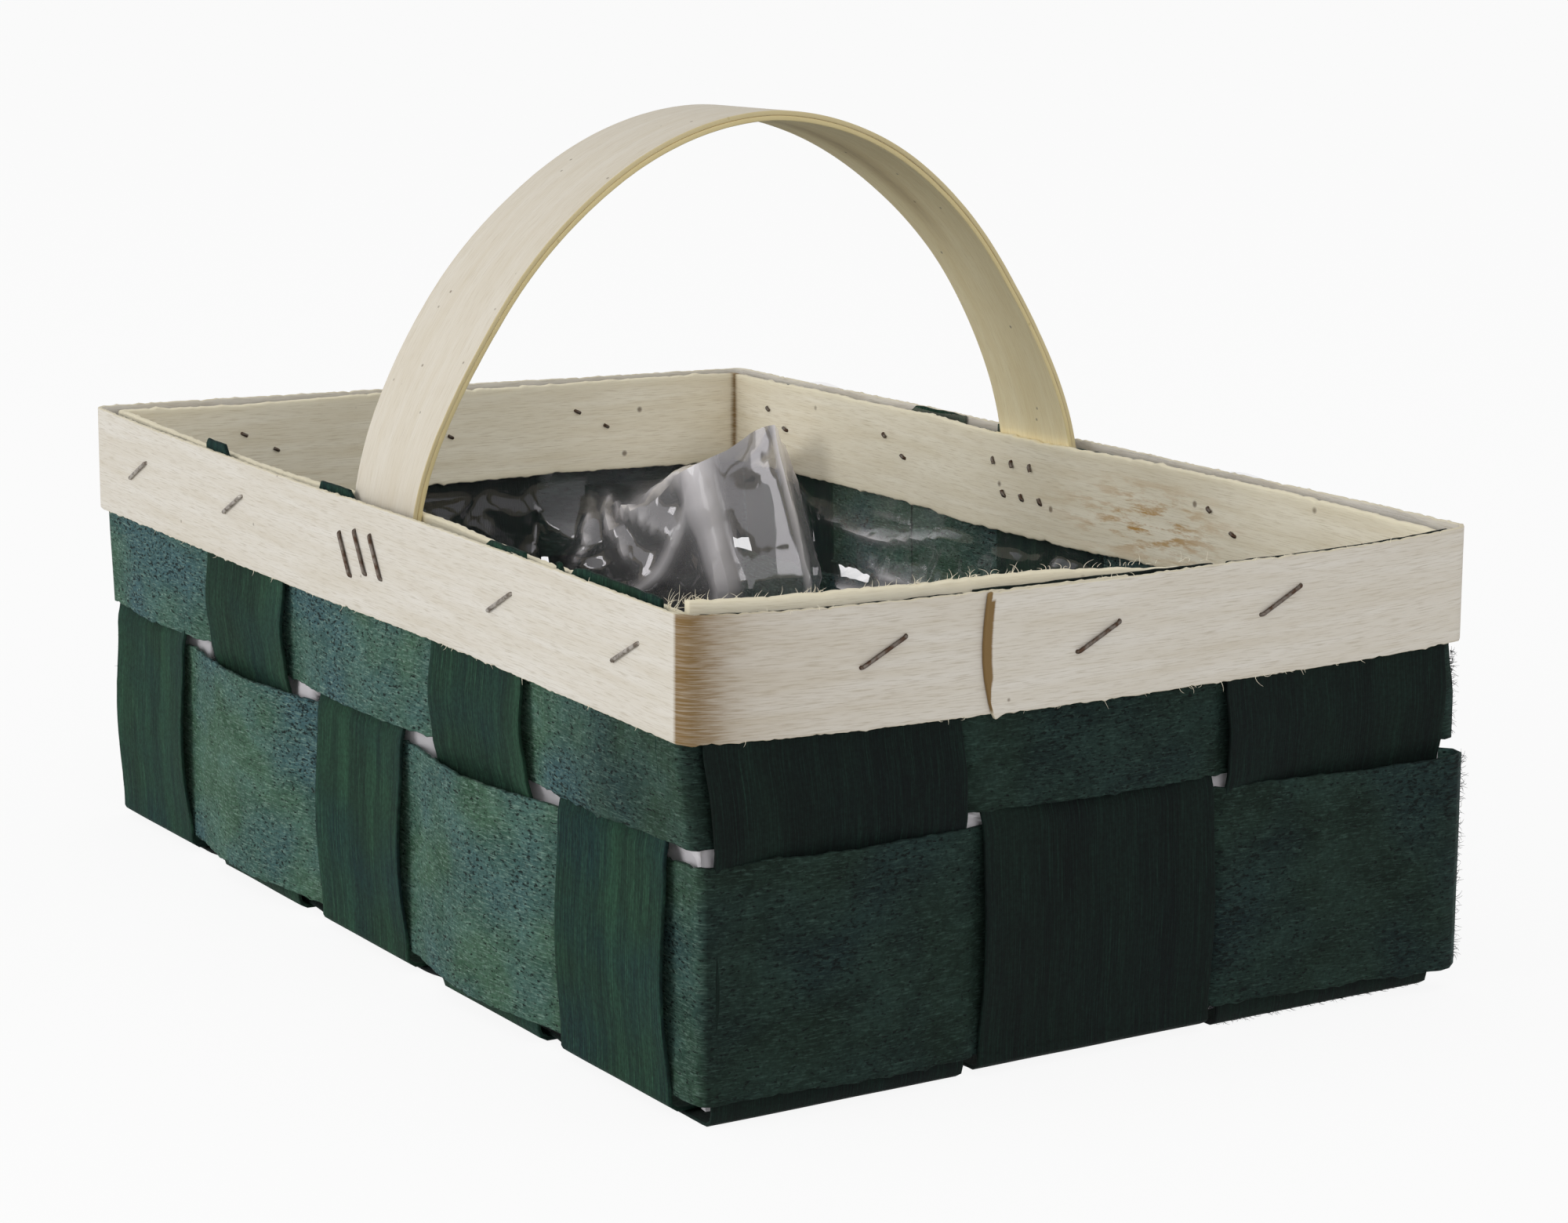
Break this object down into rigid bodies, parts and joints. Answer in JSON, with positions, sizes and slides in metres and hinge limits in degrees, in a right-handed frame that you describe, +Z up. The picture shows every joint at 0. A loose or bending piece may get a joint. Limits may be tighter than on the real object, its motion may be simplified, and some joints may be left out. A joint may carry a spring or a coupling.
{
  "type": "handled basket",
  "caption": "Rectangular woven chip-wood basket with a fixed arched handle, stapled rim bands and a clear film liner, for plants, fruit or gifts",
  "frame": {"origin": "middle of the underside of the woven base, on the surface that the basket stands on", "axes": "+X along the long sides, +Y across to the back long side, +Z up; the front long side faces -Y and the side with the outer band's lap faces +X"},
  "size_m": [0.3493, 0.2278, 0.217],
  "materials": {
    "stake_veneer": "dark green dyed poplar veneer, grain along the stake",
    "weaver_veneer": "blue-green dyed poplar veneer, mottled, grain along the weaver",
    "band_veneer": "natural peeled poplar veneer, matt",
    "handle_veneer": "natural poplar, two plies glued, sanded",
    "film": "clear polyethylene film, glossy, crumpled",
    "wire": "steel staple wire, dulled, with light rust"
  },
  "bodies": {
    "root": {"cross_stake_1": "stake_veneer", "cross_stake_2": "stake_veneer", "cross_stake_3": "stake_veneer", "cross_stake_4": "stake_veneer", "cross_stake_5": "stake_veneer", "long_stake_1": "stake_veneer", "long_stake_2": "stake_veneer", "long_stake_3": "stake_veneer", "lower_weaver": "weaver_veneer", "upper_weaver": "weaver_veneer", "liner": "film", "handle_outer_ply": "handle_veneer", "handle_inner_ply": "handle_veneer", "outer_band": "band_veneer", "inner_band": "band_veneer", "staple_back_1": "wire", "staple_back_2": "wire", "staple_back_4": "wire", "staple_back_5": "wire", "staple_back_handle_1": "wire", "staple_back_handle_2": "wire", "staple_back_handle_3": "wire", "staple_front_1": "wire", "staple_front_2": "wire", "staple_front_4": "wire", "staple_front_5": "wire", "staple_front_handle_1": "wire", "staple_front_handle_2": "wire", "staple_front_handle_3": "wire", "staple_left_1": "wire", "staple_left_2": "wire", "staple_left_3": "wire", "staple_right_1": "wire", "staple_right_2": "wire", "staple_right_3": "wire"}
  },
  "joints": []
}
